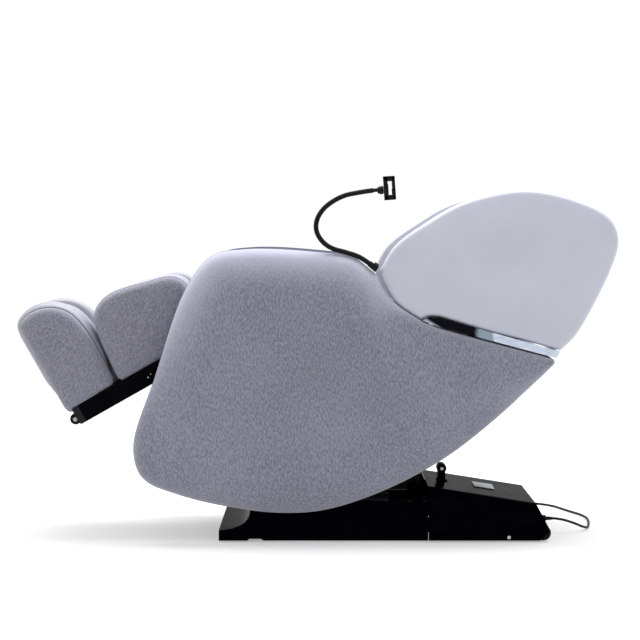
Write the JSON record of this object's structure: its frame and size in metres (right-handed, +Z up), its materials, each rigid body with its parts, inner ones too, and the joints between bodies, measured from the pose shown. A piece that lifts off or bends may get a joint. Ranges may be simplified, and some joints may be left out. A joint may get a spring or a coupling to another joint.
{
  "type": "massage chair",
  "caption": "Reclining zero-gravity massage chair with fabric side panels, padded hood, raised leg rest, low black base and a phone holder on a flexible arm.",
  "frame": {"origin": "centre of the bounding box in plan, on the floor", "axes": "-X towards the feet and +X towards the head, Y across the seat with the sitter's left side at -Y, +Z up"},
  "size_m": [1.6769, 0.9633, 1.0285],
  "materials": {
    "panel_fabric": "woven",
    "leg_fabric": "woven",
    "hood_leather": "satin",
    "lining_leather": "satin",
    "black_plastic": "gloss",
    "dark_plastic": "matte",
    "chrome": "polished",
    "black_steel": "satin",
    "bright_steel": "brushed",
    "rubber": "matte",
    "wheel_plastic": "satin",
    "cord_rubber": "matte"
  },
  "bodies": {
    "base": {"base_frame": "black_steel", "pivot_bushes": "dark_plastic", "base_skirt": "black_plastic", "rear_cover": "black_plastic", "power_inlet": "dark_plastic", "rubber_feet": "rubber", "cover_screws": "bright_steel", "pump_and_control": "dark_plastic", "tilt_actuator": "black_steel", "power_connector": "cord_rubber", "power_cord": "cord_rubber", "power_cord_coil": "cord_rubber", "power_plug": "cord_rubber"},
    "rocker": {"rocker_switch": "dark_plastic"},
    "wheel_left": {"transport_wheel_left": "rubber"},
    "wheel_right": {"transport_wheel_right": "rubber"},
    "stop_roller": {"stop_roller": "rubber"},
    "tilt_rod": {"tilt_actuator_rod": "bright_steel"},
    "seat": {"seat_frame": "black_steel", "side_panel_left": "panel_fabric", "side_panel_right": "panel_fabric", "arm_pad_left": "lining_leather", "arm_pad_right": "lining_leather", "hood_wing_left": "hood_leather", "hood_wing_right": "hood_leather", "hood_back": "hood_leather", "trim_strip_left": "chrome", "trim_strip_right": "chrome", "seat_cushion": "lining_leather", "back_cushion": "lining_leather", "head_pillow": "lining_leather", "shoulder_pads": "lining_leather", "track_rails": "bright_steel", "underbody_cover": "dark_plastic", "leg_actuator": "black_steel", "neck_socket": "dark_plastic"},
    "leg_rod": {"leg_actuator_rod": "bright_steel"},
    "leg_rest": {"leg_frame": "black_steel", "calf_panel_left": "leg_fabric", "calf_panel_right": "leg_fabric", "calf_cushion": "lining_leather"},
    "foot_rest": {"foot_frame": "black_steel", "foot_end_caps": "dark_plastic", "foot_panel_left": "leg_fabric", "foot_panel_right": "leg_fabric", "foot_cushion": "lining_leather"},
    "foot_roller": {"foot_roller": "wheel_plastic"},
    "glides": {"glide_rollers": "rubber"},
    "carriage": {"carriage_frame": "black_steel"},
    "shaft": {"kneading_shaft": "bright_steel"},
    "arm_left": {"massage_arm_left": "dark_plastic"},
    "arm_right": {"massage_arm_right": "dark_plastic"},
    "ball_lu": {"massage_wheel_left_upper": "wheel_plastic"},
    "ball_ll": {"massage_wheel_left_lower": "wheel_plastic"},
    "ball_ru": {"massage_wheel_right_upper": "wheel_plastic"},
    "ball_rl": {"massage_wheel_right_lower": "wheel_plastic"},
    "neck_lower": {"gooseneck_lower": "rubber"},
    "neck_upper": {"gooseneck_upper": "rubber"},
    "clamp": {"phone_clamp": "dark_plastic"},
    "clamp_jaw": {"phone_clamp_jaw": "dark_plastic"}
  },
  "joints": [
    {"name": "tilt", "type": "hinge", "parent": "base", "child": "seat", "pos_m": [-0.11, 0, 0.3], "axis": [0, 1, 0], "range_deg": [-24, 3]},
    {"name": "tilt_actuator_stroke", "type": "slide", "parent": "base", "child": "tilt_rod", "axis": [1, 0, 0], "range_m": [-0.01, 0.066]},
    {"name": "leg_lift", "type": "hinge", "parent": "seat", "child": "leg_rest", "pos_m": [-0.3, 0, 0.574], "axis": [0, 1, 0], "range_deg": [-30, 8]},
    {"name": "leg_actuator_stroke", "type": "slide", "parent": "seat", "child": "leg_rod", "axis": [-0.9622, 0, 0.2723], "range_m": [-0.058, 0.017]},
    {"name": "foot_extension", "type": "slide", "parent": "leg_rest", "child": "foot_rest", "axis": [-0.8704, 0, -0.4924], "range_m": [0, 0.12]},
    {"name": "foot_roller_turn", "type": "hinge", "parent": "foot_rest", "child": "foot_roller", "pos_m": [-0.7603, 0, 0.48592], "axis": [0, 1, 0], "continuous": true},
    {"name": "glide_turn", "type": "hinge", "parent": "foot_rest", "child": "glides", "pos_m": [-0.69234, 0, 0.33939], "axis": [0, 1, 0], "continuous": true},
    {"name": "carriage_travel", "type": "slide", "parent": "seat", "child": "carriage", "axis": [0.766, 0, 0.6428], "range_m": [-0.18, 0.18]},
    {"name": "kneading_turn", "type": "hinge", "parent": "carriage", "child": "shaft", "pos_m": [0.44581, 0, 0.54104], "axis": [0, 1, 0], "continuous": true},
    {"name": "arm_left_swing", "type": "hinge", "parent": "carriage", "child": "arm_left", "pos_m": [0.44581, -0.072, 0.54104], "axis": [0, 1, 0], "range_deg": [-6, 6]},
    {"name": "arm_right_swing", "type": "hinge", "parent": "carriage", "child": "arm_right", "pos_m": [0.44581, 0.072, 0.54104], "axis": [0, 1, 0], "range_deg": [-6, 6]},
    {"name": "ball_left_upper_turn", "type": "hinge", "parent": "arm_left", "child": "ball_lu", "pos_m": [0.48173, -0.05, 0.59468], "axis": [0, 1, 0], "continuous": true},
    {"name": "ball_left_lower_turn", "type": "hinge", "parent": "arm_left", "child": "ball_ll", "pos_m": [0.38674, -0.05, 0.51498], "axis": [0, 1, 0], "continuous": true},
    {"name": "ball_right_upper_turn", "type": "hinge", "parent": "arm_right", "child": "ball_ru", "pos_m": [0.48173, 0.05, 0.59468], "axis": [0, 1, 0], "continuous": true},
    {"name": "ball_right_lower_turn", "type": "hinge", "parent": "arm_right", "child": "ball_rl", "pos_m": [0.38674, 0.05, 0.51498], "axis": [0, 1, 0], "continuous": true},
    {"name": "power_rocker", "type": "hinge", "parent": "base", "child": "rocker", "pos_m": [0.608, -0.046, 0.05], "axis": [0, 1, 0], "range_deg": [-8, 8]},
    {"name": "wheel_left_turn", "type": "hinge", "parent": "base", "child": "wheel_left", "pos_m": [0.628, -0.248, 0.024], "axis": [0, 1, 0], "continuous": true},
    {"name": "wheel_right_turn", "type": "hinge", "parent": "base", "child": "wheel_right", "pos_m": [0.628, 0.248, 0.024], "axis": [0, 1, 0], "continuous": true},
    {"name": "stop_roller_turn", "type": "hinge", "parent": "base", "child": "stop_roller", "pos_m": [0.354, 0, 0.181], "axis": [0, 1, 0], "continuous": true},
    {"name": "neck_swivel", "type": "hinge", "parent": "seat", "child": "neck_lower", "pos_m": [0.154, -0.3, 0.771], "axis": [-0.7826, 0, 0.6225], "range_deg": [-25, 25]},
    {"name": "neck_bend", "type": "hinge", "parent": "neck_lower", "child": "neck_upper", "pos_m": [-0.011, -0.3, 0.88], "axis": [0, 1, 0], "range_deg": [-5, 12]},
    {"name": "clamp_ball", "type": "hinge", "parent": "neck_upper", "child": "clamp", "pos_m": [0.16586, -0.3, 0.98593], "axis": [0, 1, 0], "range_deg": [-15, 15]},
    {"name": "clamp_jaw_slide", "type": "slide", "parent": "clamp", "child": "clamp_jaw", "axis": [-0.0698, 0, 0.9976], "range_m": [0, 0.015], "stiffness_N_per_m": 150, "springref_m": -0.01}
  ],
  "couplings": [
    {"joint": "tilt_actuator_stroke", "follows": "tilt", "m_per_rad": -0.15},
    {"joint": "leg_actuator_stroke", "follows": "leg_lift", "m_per_rad": 0.1065},
    {"joint": "arm_right_swing", "follows": "arm_left_swing", "ratio": -1}
  ]
}
